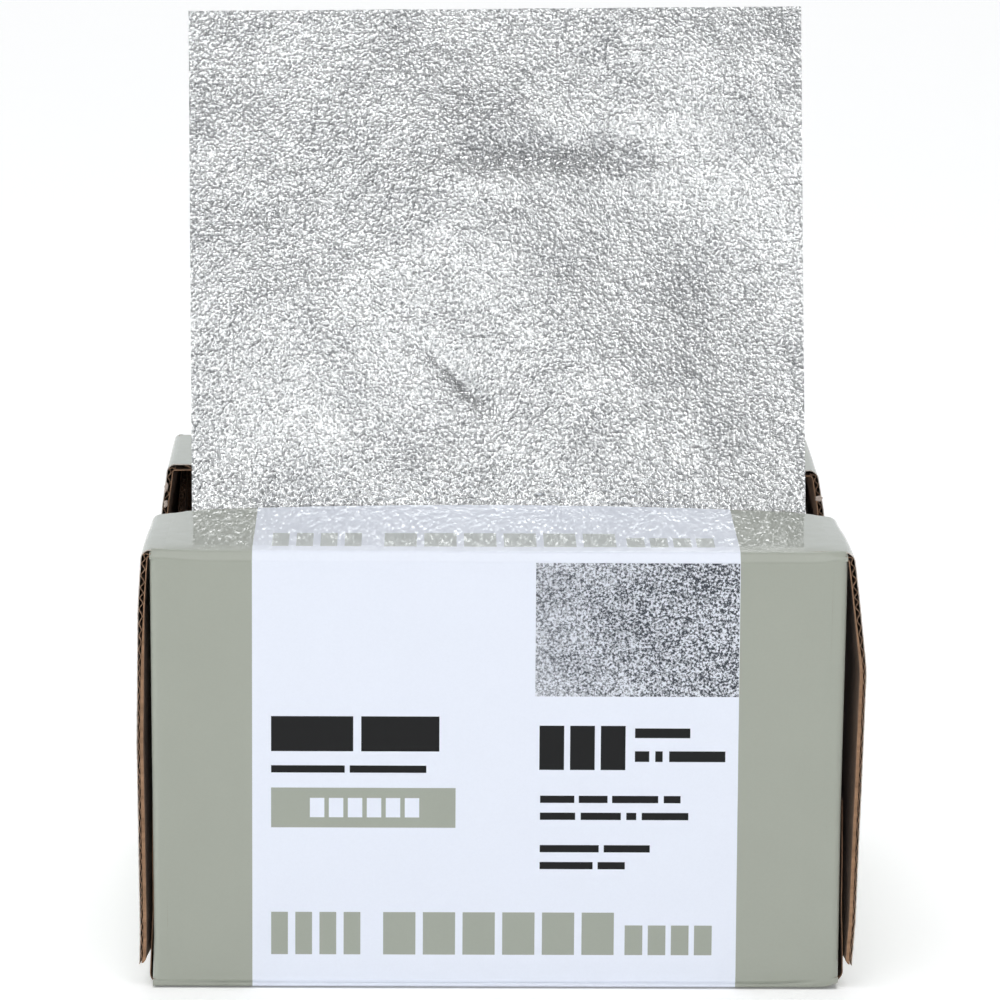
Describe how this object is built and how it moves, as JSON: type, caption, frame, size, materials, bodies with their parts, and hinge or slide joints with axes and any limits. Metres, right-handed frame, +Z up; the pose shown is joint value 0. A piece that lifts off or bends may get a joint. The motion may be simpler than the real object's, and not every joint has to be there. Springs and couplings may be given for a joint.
{
  "type": "pop-up foil sheet dispenser box",
  "caption": "Corrugated carton with a tear-out window across its top that dispenses interfolded pre-cut aluminium foil sheets, one standing up through the window.",
  "frame": {"origin": "middle of the carton's base, on the surface it stands on", "axes": "+Z up, the printed front faces -Y, +X towards the carton's right as seen from the front"},
  "size_m": [0.1464, 0.141, 0.193],
  "materials": {
    "printed_board": "satin",
    "kraft_board": "matte",
    "foil_sheet": "satin",
    "foil_stack": "satin"
  },
  "bodies": {
    "carton": {"front_panel": "printed_board", "back_panel": "printed_board", "bottom_panel": "printed_board", "top_front_lip": "printed_board", "top_rear_strip": "printed_board", "glue_tab": "kraft_board", "foil_stack": "foil_stack", "third_sheet": "foil_sheet", "next_sheet": "foil_sheet"},
    "popped_sheet": {"popped_sheet": "foil_sheet"},
    "left_outer_end_flap": {"left_outer_end_flap": "printed_board"},
    "left_inner_end_flap": {"left_inner_end_flap": "kraft_board"},
    "left_front_dust_flap": {"left_front_dust_flap": "kraft_board"},
    "left_rear_dust_flap": {"left_rear_dust_flap": "kraft_board"},
    "right_outer_end_flap": {"right_outer_end_flap": "printed_board"},
    "right_inner_end_flap": {"right_inner_end_flap": "kraft_board"},
    "right_front_dust_flap": {"right_front_dust_flap": "kraft_board"},
    "right_rear_dust_flap": {"right_rear_dust_flap": "kraft_board"}
  },
  "joints": [
    {"name": "sheet_pull", "type": "slide", "parent": "carton", "child": "popped_sheet", "axis": [0, 0.1925, 0.9813], "range_m": [0, 0.12]},
    {"name": "left_end_open", "type": "hinge", "parent": "carton", "child": "left_outer_end_flap", "pos_m": [-0.0701, 0, 0.0893], "axis": [0, 1, 0], "range_deg": [0, 180]},
    {"name": "left_inner_flap_fold", "type": "hinge", "parent": "carton", "child": "left_inner_end_flap", "pos_m": [-0.0704, 0, 0.0007], "axis": [0, -1, 0], "range_deg": [0, 90]},
    {"name": "left_front_dust_flap_fold", "type": "hinge", "parent": "carton", "child": "left_front_dust_flap", "pos_m": [-0.0688, -0.0698, 0], "axis": [0, 0, 1], "range_deg": [0, 45]},
    {"name": "left_rear_dust_flap_fold", "type": "hinge", "parent": "carton", "child": "left_rear_dust_flap", "pos_m": [-0.0688, 0.0698, 0], "axis": [0, 0, -1], "range_deg": [0, 45]},
    {"name": "right_end_open", "type": "hinge", "parent": "carton", "child": "right_outer_end_flap", "pos_m": [0.0701, 0, 0.0893], "axis": [0, -1, 0], "range_deg": [0, 180]},
    {"name": "right_inner_flap_fold", "type": "hinge", "parent": "carton", "child": "right_inner_end_flap", "pos_m": [0.0704, 0, 0.0007], "axis": [0, 1, 0], "range_deg": [0, 90]},
    {"name": "right_front_dust_flap_fold", "type": "hinge", "parent": "carton", "child": "right_front_dust_flap", "pos_m": [0.0688, -0.0698, 0], "axis": [0, 0, -1], "range_deg": [0, 45]},
    {"name": "right_rear_dust_flap_fold", "type": "hinge", "parent": "carton", "child": "right_rear_dust_flap", "pos_m": [0.0688, 0.0698, 0], "axis": [0, 0, 1], "range_deg": [0, 45]}
  ],
  "couplings": [
    {"joint": "left_inner_flap_fold", "follows": "left_end_open", "ratio": 0.5},
    {"joint": "left_front_dust_flap_fold", "follows": "left_end_open", "ratio": 0.25},
    {"joint": "left_rear_dust_flap_fold", "follows": "left_end_open", "ratio": 0.25},
    {"joint": "right_inner_flap_fold", "follows": "right_end_open", "ratio": 0.5},
    {"joint": "right_front_dust_flap_fold", "follows": "right_end_open", "ratio": 0.25},
    {"joint": "right_rear_dust_flap_fold", "follows": "right_end_open", "ratio": 0.25}
  ]
}
